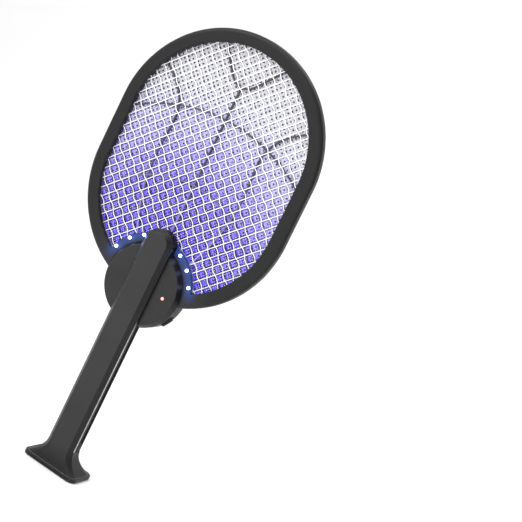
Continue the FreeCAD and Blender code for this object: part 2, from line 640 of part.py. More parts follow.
def battery_cell():
    """Flat rechargeable cell behind the floor of the channel."""
    cell = box(-15, 15, STACK_FRONT_Y + 0.5, STACK_FRONT_Y + 6, -25, 21)
    long_edges = [e for e in cell.Edges if e.Length > 40]
    return cell.makeFillet(2.0, long_edges)


def battery_leads():
    """Two wires from the cell to the board."""
    middle_y = STACK_FRONT_Y + 3.2
    leads = []
    for x in (-3.0, 3.0):
        corners = [Vector(x, middle_y, 21), Vector(x, middle_y, 25), Vector(x, BOARD_FRONT_Y, 25)]
        leads.append(bent_wire(corners, 0.7))
    return leads


def step_up_transformer():
    """Transformer that makes the high voltage: a ferrite core with a winding between its ends."""
    x, z = -26.0, -2.0
    front_y = HUB_FACE_Y + WALL + 2
    core_front = box(x - 7, x + 7, front_y, front_y + 3.5, z - 8, z + 8)
    core_back = box(x - 7, x + 7, BOARD_FRONT_Y - 3.5, BOARD_FRONT_Y, z - 8, z + 8)
    return fuse([core_front, core_back, rod(6.2, x, z, front_y + 3, BOARD_FRONT_Y - 3)])


def storage_capacitor():
    """Upright round capacitor between the transformer and the top of the hub, clear of the channel's wall."""
    radius = 4.0
    top_y = BOARD_FRONT_Y - 12
    x = -(CHANNEL_HALF + WALL + radius + 0.5)
    return rounded_edges(rod(radius, x, 23.5, top_y, BOARD_FRONT_Y), top_y, 0.6)


def rectifier_diodes():
    """Three small diodes in a row on the board."""
    return [Part.makeCylinder(0.9, 4.4, Vector(x, BOARD_FRONT_Y - 0.9, 29.5), Vector(1, 0, 0))
            for x in (-9.0, -2.2, 4.6)]


def grid_lead():
    """Wire from the board to the live grid's tab."""
    corners = [Vector(0, BOARD_FRONT_Y, 34.5), Vector(0, GRID_REAR_Y + 1.2, 34.5),
               Vector(0, GRID_REAR_Y + 1.2, 45.5), Vector(0, GRID_REAR_Y, 45.5)]
    return bent_wire(corners, 0.6)


def guard_leads():
    """Wires from the board to the tabs of the two guard screens."""
    front_tab_y = STACK_FRONT_Y + GUARD_THICKNESS
    rear_tab_y = STACK_REAR_Y - GUARD_THICKNESS
    front = [Vector(-LEAD_X, BOARD_FRONT_Y, 34), Vector(-LEAD_X, front_tab_y + 1.2, 34),
             Vector(-LEAD_X, front_tab_y + 1.2, 45.5), Vector(-LEAD_X, front_tab_y, 45.5)]
    rear = [Vector(LEAD_X, BOARD_FRONT_Y, 34), Vector(LEAD_X, rear_tab_y - 1.2, 34),
            Vector(LEAD_X, rear_tab_y - 1.2, 45.5), Vector(LEAD_X, rear_tab_y, 45.5)]
    return [bent_wire(front, 0.6), bent_wire(rear, 0.6)]


def charging_socket():
    """Small charging socket that opens through the side of the rear housing."""
    y0, y1 = BOARD_FRONT_Y - 3.3, BOARD_FRONT_Y
    shell = box(HUB_RADIUS - 8.4, HUB_RADIUS - 0.6, y0, y1, -4.5, 4.5)
    edges = [e for e in shell.Edges if abs(e.BoundBox.XLength - 7.8) < 1e-3]
    shell = shell.makeFillet(1.2, edges)
    mouth = box(HUB_RADIUS - 6.5, HUB_RADIUS, y0 + 0.4, y1 - 0.4, -4.0, 4.0)
    tongue = box(HUB_RADIUS - 7, HUB_RADIUS - 1.6, y0 + 1.3, y1 - 1.3, -3.2, 3.2)
    return turned(fuse([shell.cut(mouth), tongue]), PORT_ANGLE)


def mode_switch_body():
    """Three-position slide switch soldered to the board behind its knob."""
    case = box(23.5, 32.4, SEAM_Y - 3, BOARD_FRONT_Y, -6.5, 6.5)
    return turned(case, SWITCH_ANGLE)


def mode_switch_knob():
    """Ribbed knob that stands out of the hub's side between the two housings."""
    half_t = KNOB_THICKNESS / 2
    half_l = KNOB_LENGTH / 2
    knob = box(HUB_RADIUS - 8.0, HUB_RADIUS + KNOB_PROUD, SEAM_Y - half_t, SEAM_Y + half_t, -half_l, half_l)
    knob = knob.common(rod(HUB_RADIUS + KNOB_PROUD - 0.2, 0, 0, SEAM_Y - half_t, SEAM_Y + half_t))
    tip_x = HUB_RADIUS + KNOB_PROUD
    for step in range(-2, 3):
        z = step * 2.0
        knob = knob.cut(box(tip_x - 1.0, tip_x + 1, SEAM_Y - half_t, SEAM_Y + half_t, z - 0.4, z + 0.4))
    return turned(knob, SWITCH_ANGLE)


def indicator_lamp():
    """Small lamp on the board that lights the pipe behind the hub's face."""
    front_y = BOARD_FRONT_Y - 1.7
    return box(INDICATOR_X - 1.4, INDICATOR_X + 1.4, front_y, BOARD_FRONT_Y, INDICATOR_Z - 1, INDICATOR_Z + 1)


def indicator_light_pipe():
    """Clear rod that carries the indicator's light to the hub's face."""
    tip_y = HUB_FACE_Y - 0.4
    tip = rounded_edges(rod(1.5, INDICATOR_X, INDICATOR_Z, tip_y, BOARD_FRONT_Y - 1.8), tip_y, 0.35)
    flange = rod(2.3, INDICATOR_X, INDICATOR_Z, HUB_FACE_Y + WALL, HUB_FACE_Y + WALL + 1)
    return fuse([tip, flange])


# ---- the whole object ---------------------------------------------------------------------------
HANDLE_PIECES = (handle_front_shell, handle_rail, handle_screws, foot_base_plate, foot_base_screws, foot_pad)
HEAD_PIECES = (front_housing, rear_housing, front_guard_mesh, rear_guard_mesh, high_voltage_grid,
               front_spacer_web, rear_spacer_web, uv_lamps, lamp_boards, main_board, battery_cell,
               battery_leads, step_up_transformer, storage_capacitor, rectifier_diodes, grid_lead,
               guard_leads, charging_socket, mode_switch_body, mode_switch_knob, indicator_lamp,
               indicator_light_pipe, hub_screws, rim_screws)


def save(make, lift):
    """Builds one piece, or a group of like pieces, raises it into place and writes its STEP file."""
    made = make()
    solids = made if isinstance(made, list) else [made]
    flat = [s for shape in solids for s in shape.Solids]
    shape = flat[0] if len(flat) == 1 else Part.makeCompound(flat)
    shape.translate(Vector(0, 0, lift))
    shape.exportStep(os.path.join("parts", make.__name__ + ".step"))


os.makedirs("parts", exist_ok=True)
for piece in HANDLE_PIECES:
    save(piece, 0.0)
for piece in HEAD_PIECES:
    save(piece, HUB_REST_Z)
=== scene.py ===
"""Looks of an electric fly swatter whose head slides along its handle.

Everything is in metres in the CAD frame: origin under the middle of the foot, +Z up the handle, front
towards -Y.
"""
import bmesh
import bpy
import json
import math
from mathutils import Matrix, Vector

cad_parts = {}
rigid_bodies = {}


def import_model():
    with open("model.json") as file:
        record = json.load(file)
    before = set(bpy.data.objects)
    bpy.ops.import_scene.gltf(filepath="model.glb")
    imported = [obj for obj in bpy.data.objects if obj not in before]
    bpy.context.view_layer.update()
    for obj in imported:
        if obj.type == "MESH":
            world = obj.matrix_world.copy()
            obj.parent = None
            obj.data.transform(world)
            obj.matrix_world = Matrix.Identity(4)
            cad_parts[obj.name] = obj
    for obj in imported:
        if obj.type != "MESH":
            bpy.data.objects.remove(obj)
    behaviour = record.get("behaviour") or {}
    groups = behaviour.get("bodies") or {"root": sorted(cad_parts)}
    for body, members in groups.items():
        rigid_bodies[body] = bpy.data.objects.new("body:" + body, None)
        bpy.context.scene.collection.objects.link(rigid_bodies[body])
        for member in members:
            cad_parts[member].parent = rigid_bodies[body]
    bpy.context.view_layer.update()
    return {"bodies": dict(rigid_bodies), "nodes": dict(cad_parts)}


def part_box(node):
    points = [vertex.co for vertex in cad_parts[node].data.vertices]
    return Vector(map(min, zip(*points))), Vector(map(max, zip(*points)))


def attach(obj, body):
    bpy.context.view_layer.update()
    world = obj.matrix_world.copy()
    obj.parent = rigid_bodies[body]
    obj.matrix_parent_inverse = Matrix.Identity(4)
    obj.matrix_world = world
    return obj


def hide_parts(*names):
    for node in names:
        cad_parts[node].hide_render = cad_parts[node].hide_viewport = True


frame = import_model()
nodes = frame["nodes"]
MM = 0.001
NOISE_LOW = 0.3                                    # most of a noise texture's values lie from here
NOISE_HIGH = 0.7                                   # to here
CHARCOAL = (0.021, 0.021, 0.022)                   # the head's plastic
GRIP_GREY = (0.025, 0.025, 0.0255)                 # the handle's plastic

# ---- places worked out from the frame -----------------------------------------------------------
HOUSING_LOW, HOUSING_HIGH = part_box("front_housing")
BOARD_LOW, BOARD_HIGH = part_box("main_board")
RAIL_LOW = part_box("handle_rail")[0]
LAMP_FRONT_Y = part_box("uv_lamps")[0].y
LAMP_PROUD = 2.1 * MM                              # each lamp's dome stands this far out of the collar
RIM_FRONT_Y = LAMP_FRONT_Y + LAMP_PROUD
RIM_RADIUS = HOUSING_HIGH.x
SCREEN_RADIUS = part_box("front_guard_mesh")[1].x    # outer edge of the screens' border
HUB_Z = (BOARD_LOW.z + BOARD_HIGH.z) / 2
HUB_RADIUS = HUB_Z - HOUSING_LOW.z
UPPER_ARC_Z = HOUSING_HIGH.z - RIM_RADIUS
ARC_SPACING = 56 * MM                              # between the centres of the head's two end arcs
LOWER_ARC_Z = UPPER_ARC_Z - ARC_SPACING
SCREEN_MIDDLE_Z = (LOWER_ARC_Z + UPPER_ARC_Z) / 2  # the weaves are laid out from here
GUARD_PITCH = 8.25 * MM                            # between the wires of each outer screen
LAMP_CIRCLE = 46.4 * MM                            # radius of the ring of lamps round the hub
LAMP_ANGLES = (24.0, 44.0, 63.0, 117.0, 136.0, 156.0)  # of the lamps on it, in degrees from +X
COLLAR_SCREEN_RADIUS = HUB_RADIUS + 6.8 * MM       # inner edge of the screens, under the lamp collar


# ---- node helpers -------------------------------------------------------------------------------
class Graph:
    """A small wrapper that adds nodes to one material and joins them."""

    def __init__(self, name):
        self.material = bpy.data.materials.new(name)
        self.material.use_nodes = True
        self.tree = self.material.node_tree
        self.tree.nodes.clear()
        self.output = self.add("ShaderNodeOutputMaterial")
        self.shader = self.add("ShaderNodeBsdfPrincipled")
        self.join(self.shader, "BSDF", self.output, "Surface")

    def add(self, kind, **settings):
        node = self.tree.nodes.new(kind)
        for key, value in settings.items():
            setattr(node, key, value)
        return node

    def join(self, source, out_name, target, in_name):
        self.tree.links.new(source.outputs[out_name], target.inputs[in_name])

    def feed(self, value, socket):
        """Sets a socket to a plain value, or joins it to another node's output."""
        if isinstance(value, bpy.types.NodeSocket):
            self.tree.links.new(value, socket)
        else:
            socket.default_value = value

    def place(self, scale=(1, 1, 1)):
        """Coordinates in the object's own frame, stretched by scale."""
        coords = self.add("ShaderNodeTexCoord")
        mapping = self.add("ShaderNodeMapping")
        mapping.inputs["Scale"].default_value = scale
        self.join(coords, "Object", mapping, "Vector")
        return mapping.outputs["Vector"]

    def noise(self, scale, detail=3.0, rough=0.5, stretch=(1, 1, 1)):
        node = self.add("ShaderNodeTexNoise")
        node.inputs["Scale"].default_value = scale
        node.inputs["Detail"].default_value = detail
        node.inputs["Roughness"].default_value = rough
        self.feed(self.place(stretch), node.inputs["Vector"])
        return node.outputs["Fac"]

    def math(self, operation, a, b=0.0, clamp=False):
        node = self.add("ShaderNodeMath", operation=operation, use_clamp=clamp)
        self.feed(a, node.inputs[0])
        self.feed(b, node.inputs[1])
        return node.outputs[0]

    def spread(self, value, low_in, high_in, low_out, high_out):
        node = self.add("ShaderNodeMapRange", clamp=True)
        for socket, number in zip(list(node.inputs)[1:5], (low_in, high_in, low_out, high_out)):
            socket.default_value = number
        self.feed(value, node.inputs[0])
        return node.outputs[0]

    def vary(self, scale, detail, low, high):
        """Noise whose values run from low to high."""
        return self.spread(self.noise(scale, detail), NOISE_LOW, NOISE_HIGH, low, high)

    def mix(self, factor, a, b):
        node = self.add("ShaderNodeMix", data_type="RGBA")
        self.feed(factor, node.inputs[0])
        self.feed(a, node.inputs[6])
        self.feed(b, node.inputs[7])
        return node.outputs[2]

    def bump(self, height, strength, distance, normal=None):
        node = self.add("ShaderNodeBump")
        node.inputs["Strength"].default_value = strength
        node.inputs["Distance"].default_value = distance
        self.feed(height, node.inputs["Height"])
        if normal is not None:
            self.feed(normal, node.inputs["Normal"])
        return node.outputs["Normal"]

    def rounded_normal(self, radius):
        node = self.add("ShaderNodeBevel", samples=4)
        node.inputs["Radius"].default_value = radius
        return node.outputs["Normal"]

    def edge_mask(self, rounded):
        """1 on sharp edges, 0 on flat faces."""
        geometry = self.add("ShaderNodeNewGeometry")
        dot = self.add("ShaderNodeVectorMath", operation="DOT_PRODUCT")
        self.feed(rounded, dot.inputs[0])
        self.feed(geometry.outputs["Normal"], dot.inputs[1])
        return self.spread(dot.outputs["Value"], 0.985, 0.80, 0.0, 1.0)

    def lattice(self, pitch, shift_u, shift_v):
        """Two waves across the diagonals of the head's plane, each 1 on the lines of a square lattice."""
        split = self.add("ShaderNodeSeparateXYZ")
        self.feed(self.place(), split.inputs[0])
        rise = self.math("SUBTRACT", split.outputs["Z"], SCREEN_MIDDLE_Z)
        waves = []
        for operation, shift in (("ADD", shift_u), ("SUBTRACT", shift_v)):
            diagonal = self.math("DIVIDE", self.math(operation, rise, split.outputs["X"]), math.sqrt(2))
            turns = self.math("DIVIDE", self.math("SUBTRACT", diagonal, shift), pitch)
            waves.append(self.math("COSINE", self.math("MULTIPLY", turns, 2 * math.pi)))
        return waves

    def distance_from_hub(self):
        """Distance in metres from the hub's axis, measured in the plane of the head."""
        split = self.add("ShaderNodeSeparateXYZ")
        self.feed(self.place(), split.inputs[0])
        across = self.math("MULTIPLY", split.outputs["X"], split.outputs["X"])
        rise = self.math("SUBTRACT", split.outputs["Z"], HUB_Z)
        up = self.math("MULTIPLY", rise, rise)
        return self.math("SQRT", self.math("ADD", across, up))


def rgba(r, g, b):
    return (r, g, b, 1.0)


# ---- materials ----------------------------------------------------------------------------------
def moulded_plastic(name, colour, roughness, grain_size, grain_depth):
    """Moulded plastic with a spark-eroded grain, faint flow marks and slightly paler edges, partly wear and
    partly a painted edge highlight.

    It gives back the graph, not the material, so that more can be added to it."""
    g = Graph(name)
    rounded = g.rounded_normal(0.35 * MM)
    edges = g.math("MULTIPLY", g.edge_mask(rounded), g.spread(g.noise(260, 4), 0.35, 0.6, 0.45, 1.0))
    darker = rgba(*[c * 0.88 for c in colour])
    lighter = rgba(*[c * 1.1 for c in colour])
    # sharp edges painted slightly paler: partly wear, partly a painted highlight where the edges catch the
    # light
    edge_wear_and_highlight = rgba(*[c * 1.15 for c in colour])
    base = g.mix(g.vary(22, 3, 0.0, 1.0), darker, lighter)
    g.feed(g.mix(edges, base, edge_wear_and_highlight), g.shader.inputs["Base Color"])
    smudges = g.spread(g.noise(60, 5, 0.6), 0.35, 0.7, -0.05, 0.07)
    satin = g.vary(900, 2, roughness - 0.03, roughness + 0.03)
    g.feed(g.math("ADD", satin, smudges, clamp=True), g.shader.inputs["Roughness"])
    g.shader.inputs["Specular IOR Level"].default_value = 0.25
    grain = g.noise(1.0 / grain_size, 2, 0.6)
    g.feed(g.bump(grain, 0.35, grain_depth, rounded), g.shader.inputs["Normal"])
    return g


def tone(g, factor, shade):
    """Mixes another colour into a material's base colour, which has to come from a node already."""
    base = g.shader.inputs["Base Color"]
    g.feed(g.mix(factor, base.links[0].from_socket, rgba(*shade)), base)


def light_collar(g, strength):
    """Painted light and shade on the front housing: the lamps' blue spill painted as a glow on the collar
    round the hub, painted shade on the hub's flank and a rim painted darker as shade.
    """
    away = g.distance_from_hub()
    # painted shade: the housing darker away from the hub, over its rim
    rim = g.spread(away, HUB_RADIUS + 2 * MM, HUB_RADIUS + 30 * MM, 0.0, 1.0)
    tone(g, rim, [c * 0.45 for c in CHARCOAL])
    # painted shade: a dark crescent on the hub's flank, where its side wall is out of the light
    flank_start = g.spread(away, HUB_RADIUS - 2.8 * MM, HUB_RADIUS - 2.2 * MM, 0.0, 1.0)
    flank_end = g.spread(away, HUB_RADIUS + 0.3 * MM, HUB_RADIUS + 1.5 * MM, 0.9, 0.0)
    tone(g, g.math("MULTIPLY", flank_start, flank_end), (0.003, 0.003, 0.004))
    # painted light: the lamps' blue spill given as a glow on the collar above the hub
    inside = g.spread(away, HUB_RADIUS, LAMP_CIRCLE - 1 * MM, 0.0, 1.0)
    outside = g.spread(away, LAMP_CIRCLE + 1 * MM, LAMP_CIRCLE + 9 * MM, 1.0, 0.0)
    split = g.add("ShaderNodeSeparateXYZ")
    g.feed(g.place(), split.inputs[0])
    upper = g.spread(split.outputs["Z"], HUB_Z + 4 * MM, HUB_Z + 17 * MM, 0.0, 1.0)
    ring = g.math("MULTIPLY", g.math("MULTIPLY", inside, outside), upper)
    g.feed(g.math("MULTIPLY", ring, strength), g.shader.inputs["Emission Strength"])
    g.shader.inputs["Emission Color"].default_value = rgba(0.015, 0.12, 0.75)


def shade_grip(g):
    """Painted shade on the handle's right flank and flare, and painted highlight lines along its rear edge
    and lip.
    """
    geometry = g.add("ShaderNodeNewGeometry")
    facing = g.add("ShaderNodeSeparateXYZ")
    g.feed(geometry.outputs["Normal"], facing.inputs[0])
    flank = g.spread(facing.outputs["X"], 0.25, 0.6, 0.0, 0.8)
    place = g.add("ShaderNodeSeparateXYZ")
    g.feed(g.place(), place.inputs[0])
    flare = g.spread(place.outputs["Z"], 8 * MM, 27 * MM, 1.0, 0.0)
    front = g.spread(facing.outputs["X"], 0.1, 0.45, 1.0, 0.25)
    # painted shade: the right-facing flank and the front of the flare darkened as if out of the light
    tone(g, g.math("MAXIMUM", flank, g.math("MULTIPLY", flare, front)), [c * 0.3 for c in CHARCOAL])
    # painted highlights: bright lines on the lip's edge and on the shell's rear edge below the hub, broken
    # up by noise
    lip = g.spread(place.outputs["Z"], 4 * MM, 5 * MM, 1.0, 0.0)
    lip_highlight = g.math("MULTIPLY", g.edge_mask(g.rounded_normal(0.6 * MM)), lip)
    above_foot = g.spread(place.outputs["Z"], RAIL_LOW.z, RAIL_LOW.z + 1 * MM, 0.0, 1.0)
    hub_bottom = HUB_Z - HUB_RADIUS
    below_hub = g.spread(place.outputs["Z"], hub_bottom - 5 * MM, hub_bottom + 10 * MM, 1.0, 0.0)
    rear_edge = g.spread(place.outputs["Y"], RAIL_LOW.y - 1.5 * MM, RAIL_LOW.y - 1.0 * MM, 0.0, 1.0)
    highlight_breakup = g.spread(g.noise(220, 4), 0.35, 0.6, 0.6, 1.0)
    length = g.math("MULTIPLY", above_foot, below_hub)
    rear_edge_highlight = g.math("MULTIPLY", g.math("MULTIPLY", rear_edge, length), highlight_breakup)
    tone(g, g.math("MAXIMUM", lip_highlight, rear_edge_highlight), (0.6, 0.6, 0.6))


def metal(name, colour, roughness, brush=(1, 1, 12)):
    """Plated or drawn metal with fine brushing and slight tarnish."""
    g = Graph(name)
    tarnish = g.spread(g.noise(180, 4), 0.35, 0.7, 0.0, 1.0)
    g.feed(g.mix(tarnish, rgba(*colour), rgba(*[c * 0.82 for c in colour])), g.shader.inputs["Base Color"])
    g.shader.inputs["Metallic"].default_value = 1.0
    lines = g.noise(700, 3, 0.6, brush)
    satin = g.spread(lines, NOISE_LOW, NOISE_HIGH, roughness - 0.06, roughness + 0.1)
    g.feed(satin, g.shader.inputs["Roughness"])
    g.feed(g.bump(lines, 0.25, 0.03 * MM), g.shader.inputs["Normal"])
    return g.material


LAMP_BRIGHTNESS = 9.0
INDICATOR_BRIGHTNESS = 1.6
COLLAR_GLOW = 0.3
VIOLET_NEAR = (0.11, 0.055, 1.0)                   # the screens' light by the hub
VIOLET_FAR = (0.50, 0.42, 1.0)                     # the screens' light far from the hub
GLOW_REACH = 190 * MM                              # how far from the hub's axis that light goes
DIP_PITCH = 4.1 * MM                               # between the painted shade spots in the dips of the live grid's weave
GUARD_SHADE_SHIFT = (-1.15 * MM, 0.7 * MM)         # of the front guard's shade on the live grid


def add_glow(g, strength):
    """Violet light from the lamps on a screen: deep by the hub, pale further up, gone near the top."""
    away = g.distance_from_hub()
    share = g.spread(away, HUB_RADIUS, GLOW_REACH, 0.0, 1.0)
    g.feed(g.mix(share, rgba(*VIOLET_NEAR), rgba(*VIOLET_FAR)), g.shader.inputs["Emission Color"])
    fall = g.spread(away, HUB_RADIUS + 60 * MM, GLOW_REACH + 15 * MM, 1.0, 0.0)
    patchy = g.spread(g.noise(130, 3), 0.35, 0.65, 0.75, 1.1)
    light = g.math("MULTIPLY", g.math("MULTIPLY", fall, patchy), strength)
    g.feed(light, g.shader.inputs["Emission Strength"])


def screen_wire(name, colour, roughness, glow, painted_lamp_tint, shaded=False):
    """Bright plated wire. Near the hub its colour is painted violet and it glows violet, painted light
    standing for the lamps.

    A screen with no glow is given a painted glow of its own colour instead, which keeps it bright. A shaded
    one has painted shade in the dips of its weave and a painted soft shadow of the guard in front of it."""
    g = Graph(name)
    away = g.distance_from_hub()
    near = g.spread(away, HUB_RADIUS + 60 * MM, GLOW_REACH, painted_lamp_tint, 0.0)
    speck = g.spread(g.noise(420, 3), 0.35, 0.65, 0.9, 1.0)
    plain = g.mix(speck, rgba(*[c * 0.85 for c in colour]), rgba(*colour))
    # painted light: the wire's colour turns violet near the hub, for the lamps' light on it
    g.feed(g.mix(near, plain, rgba(0.07, 0.035, 0.6)), g.shader.inputs["Base Color"])
    g.shader.inputs["Metallic"].default_value = 0.15
    g.feed(g.vary(900, 2, roughness - 0.06, roughness + 0.08), g.shader.inputs["Roughness"])
    g.feed(g.bump(g.noise(1600, 2), 0.2, 0.03 * MM), g.shader.inputs["Normal"])
    if glow:
        add_glow(g, glow)
    else:
        # painted glow: a little emission of the wire's own colour keeps it bright white
        g.shader.inputs["Emission Color"].default_value = rgba(*colour)
        g.shader.inputs["Emission Strength"].default_value = 0.15
    if shaded:
        shade_weave(g, away)
    return g.material


def shade_weave(g, away):
    """Paints shade into a screen's dips, and a soft shadow on the lines of it that lie behind the wires of
    the front guard.

    It comes after add_glow, because it darkens that glow as well."""
    dip_u, dip_v = g.lattice(DIP_PITCH, 0.0, 0.0)
    dips = g.spread(g.math("ADD", g.math("ADD", dip_u, dip_v), g.noise(300, 2)), 1.1, 1.7, 0.0, 1.0)
    lines = g.lattice(GUARD_PITCH, *GUARD_SHADE_SHIFT)
    line = g.math("MAXIMUM", *[g.spread(wave, 0.0, 0.4, 0.0, 1.0) for wave in lines])
    depth = g.spread(away, HUB_RADIUS + 50 * MM, GLOW_REACH + 10 * MM, 0.97, 0.1)
    # painted shade in the dips and painted shadow of the guard's wires, taken off both the colour and the
    # glow
    dark = g.math("MAXIMUM", g.math("MULTIPLY", dips, 0.95), g.math("MULTIPLY", line, depth))
    light = g.math("SUBTRACT", 1.0, dark)
    base = g.shader.inputs["Base Color"]
    g.feed(g.mix(dark, base.links[0].from_socket, rgba(0.012, 0.008, 0.05)), base)
    strength = g.shader.inputs["Emission Strength"]
    g.feed(g.math("MULTIPLY", strength.links[0].from_socket, light), strength)


def web_plastic():
    """Dark insulating ribs, lit to a greyish lilac by the lamps near the hub."""
    g = Graph("web_plastic")
    shade = g.vary(90, 3, 0.0, 1.0)
    g.feed(g.mix(shade, rgba(0.03, 0.028, 0.04), rgba(0.055, 0.05, 0.07)), g.shader.inputs["Base Color"])
    near = g.spread(g.distance_from_hub(), HUB_RADIUS + 15 * MM, HUB_RADIUS + 95 * MM, 0.85, 0.0)
    tone(g, near, (0.3, 0.26, 0.52))
    g.feed(g.vary(600, 2, 0.42, 0.55), g.shader.inputs["Roughness"])
    grain = g.bump(g.noise(1500, 2), 0.3, 0.04 * MM, g.rounded_normal(0.3 * MM))
    g.feed(grain, g.shader.inputs["Normal"])
    return g.material


def lamp_dome():
    """Lit violet-blue lamp: white hot in the middle of the dome, blue at its sides."""
    g = Graph("lamp_dome")
    facing = g.add("ShaderNodeLayerWeight")
    facing.inputs["Blend"].default_value = 0.35
    flecks = g.vary(900, 2, 0.9, 1.1)
    g.feed(g.mix(facing.outputs["Facing"], rgba(0.82, 0.88, 1.0), rgba(0.12, 0.22, 1.0)),
           g.shader.inputs["Emission Color"])
    g.feed(g.math("MULTIPLY", flecks, LAMP_BRIGHTNESS), g.shader.inputs["Emission Strength"])
    g.shader.inputs["Base Color"].default_value = rgba(0.5, 0.55, 1.0)
    g.feed(g.vary(500, 2, 0.08, 0.16), g.shader.inputs["Roughness"])
    return g.material


def indicator_dome():
    """Lit red pipe end with a pale hot centre."""
    g = Graph("indicator_dome")
    facing = g.add("ShaderNodeLayerWeight")
    facing.inputs["Blend"].default_value = 0.25
    flecks = g.vary(900, 2, 0.9, 1.1)
    g.feed(g.mix(facing.outputs["Facing"], rgba(1.0, 0.55, 0.55), rgba(0.75, 0.01, 0.03)),
           g.shader.inputs["Emission Color"])
    g.feed(g.math("MULTIPLY", flecks, INDICATOR_BRIGHTNESS), g.shader.inputs["Emission Strength"])
    g.shader.inputs["Base Color"].default_value = rgba(0.5, 0.02, 0.03)
    g.feed(g.vary(500, 2, 0.12, 0.2), g.shader.inputs["Roughness"])
    return g.material


def rubber():
    """Soft black rubber with a dusty bloom."""
    g = Graph("foot_rubber")
    dust = g.spread(g.noise(120, 5, 0.6), 0.45, 0.75, 0.0, 1.0)
    g.feed(g.mix(dust, rgba(0.016, 0.016, 0.017), rgba(0.05, 0.048, 0.045)), g.shader.inputs["Base Color"])
    g.feed(g.spread(dust, 0.0, 1.0, 0.72, 0.9), g.shader.inputs["Roughness"])
    grain = g.bump(g.noise(1300, 3), 0.5, 0.06 * MM, g.rounded_normal(0.2 * MM))
    g.feed(grain, g.shader.inputs["Normal"])
    return g.material


def circuit_board():
    """Green solder mask, paler and raised over a pattern of tracks."""
    g = Graph("circuit_board")
    tracks = g.add("ShaderNodeTexBrick")
    tracks.inputs["Scale"].default_value = 260
    tracks.inputs["Mortar Size"].default_value = 0.012
    split = g.add("ShaderNodeSeparateXYZ")
    join = g.add("ShaderNodeCombineXYZ")
    g.feed(g.place(), split.inputs[0])
    g.join(split, "X", join, "X")
    g.join(split, "Z", join, "Y")
    g.join(join, "Vector", tracks, "Vector")
    mask = g.mix(g.vary(60, 3, 0.0, 1.0), rgba(0.01, 0.10, 0.035), rgba(0.015, 0.15, 0.05))
    g.feed(g.mix(tracks.outputs["Fac"], mask, rgba(0.03, 0.24, 0.08)), g.shader.inputs["Base Color"])
    g.feed(g.spread(tracks.outputs["Fac"], 0, 1, 0.3, 0.22), g.shader.inputs["Roughness"])
    g.feed(g.bump(tracks.outputs["Fac"], 0.4, 0.04 * MM), g.shader.inputs["Normal"])
    return g.material


def wrapped_cell():
    """Crinkled silver film round the cell."""
    g = Graph("cell_wrap")
    crease = g.noise(140, 5, 0.65)
    g.feed(g.mix(crease, rgba(0.38, 0.39, 0.42), rgba(0.66, 0.67, 0.70)), g.shader.inputs["Base Color"])
    g.shader.inputs["Metallic"].default_value = 0.85
    g.feed(g.spread(crease, NOISE_LOW, NOISE_HIGH, 0.22, 0.4), g.shader.inputs["Roughness"])
    g.feed(g.bump(crease, 0.5, 0.25 * MM), g.shader.inputs["Normal"])
    return g.material


def dress(names, material):
    """Gives CAD nodes a material in place of their packed one."""
    for name in names:
        slots = nodes[name].data.materials
        slots.clear()
        slots.append(material)


SATIN_GRAIN = {"grain_size": 0.45 * MM, "grain_depth": 0.035 * MM}
FINE_GRAIN = {"grain_size": 1 * MM, "grain_depth": 0.02 * MM}
charcoal = moulded_plastic("charcoal_plastic", CHARCOAL, 0.46, **SATIN_GRAIN)
grip_plastic = moulded_plastic("grip_plastic", GRIP_GREY, 0.42, **SATIN_GRAIN)
shade_grip(grip_plastic)
lit_housing = moulded_plastic("lit_housing_plastic", CHARCOAL, 0.46, **SATIN_GRAIN)
light_collar(lit_housing, COLLAR_GLOW)
gloss_black = moulded_plastic("black_plastic", (0.0045, 0.0045, 0.005), 0.3, 0.8 * MM, 0.02 * MM)
gloss_black.shader.inputs["Specular IOR Level"].default_value = 0.05
red_insulation = moulded_plastic("red_insulation", (0.42, 0.02, 0.015), 0.4, **FINE_GRAIN)
grey_insulation = moulded_plastic("grey_insulation", (0.22, 0.22, 0.24), 0.4, **FINE_GRAIN)
component_case = moulded_plastic("component_case", (0.02, 0.022, 0.035), 0.3, **FINE_GRAIN)
ferrite = moulded_plastic("ferrite", (0.10, 0.085, 0.06), 0.6, 0.5 * MM, 0.08 * MM)
steel = metal("plated_steel", (0.62, 0.62, 0.64), 0.3)
tin = metal("stamped_tin", (0.72, 0.72, 0.74), 0.24, (1, 14, 1))
dress(("handle_front_shell",), grip_plastic.material)
dress(("front_housing",), lit_housing.material)
dress(("rear_housing", "mode_switch_knob"), charcoal.material)
dress(("handle_rail", "foot_base_plate"), gloss_black.material)
dress(("handle_screws", "foot_base_screws", "hub_screws", "rim_screws"), steel)
dress(("charging_socket", "mode_switch_body"), tin)
dress(("foot_pad",), rubber())
dress(("front_spacer_web", "rear_spacer_web"), web_plastic())
dress(("uv_lamps",), lamp_dome())
dress(("indicator_light_pipe",), indicator_dome())
dress(("main_board", "lamp_boards"), circuit_board())
dress(("battery_cell",), wrapped_cell())
dress(("battery_leads", "grid_lead"), red_insulation.material)
dress(("guard_leads",), grey_insulation.material)
dress(("step_up_transformer",), ferrite.material)
dress(("storage_capacitor", "rectifier_diodes", "indicator_lamp"), component_case.material)


# ---- woven screens ------------------------------------------------------------------------------
WEAVE_REACH = 0.2                                  # the wires are laid out this far from the middle
SPAN_STEP = 0.5 * MM                               # how finely the ends of a wire are found
SPAN_STEPS = 800                                   # steps tried to each side of a wire's middle


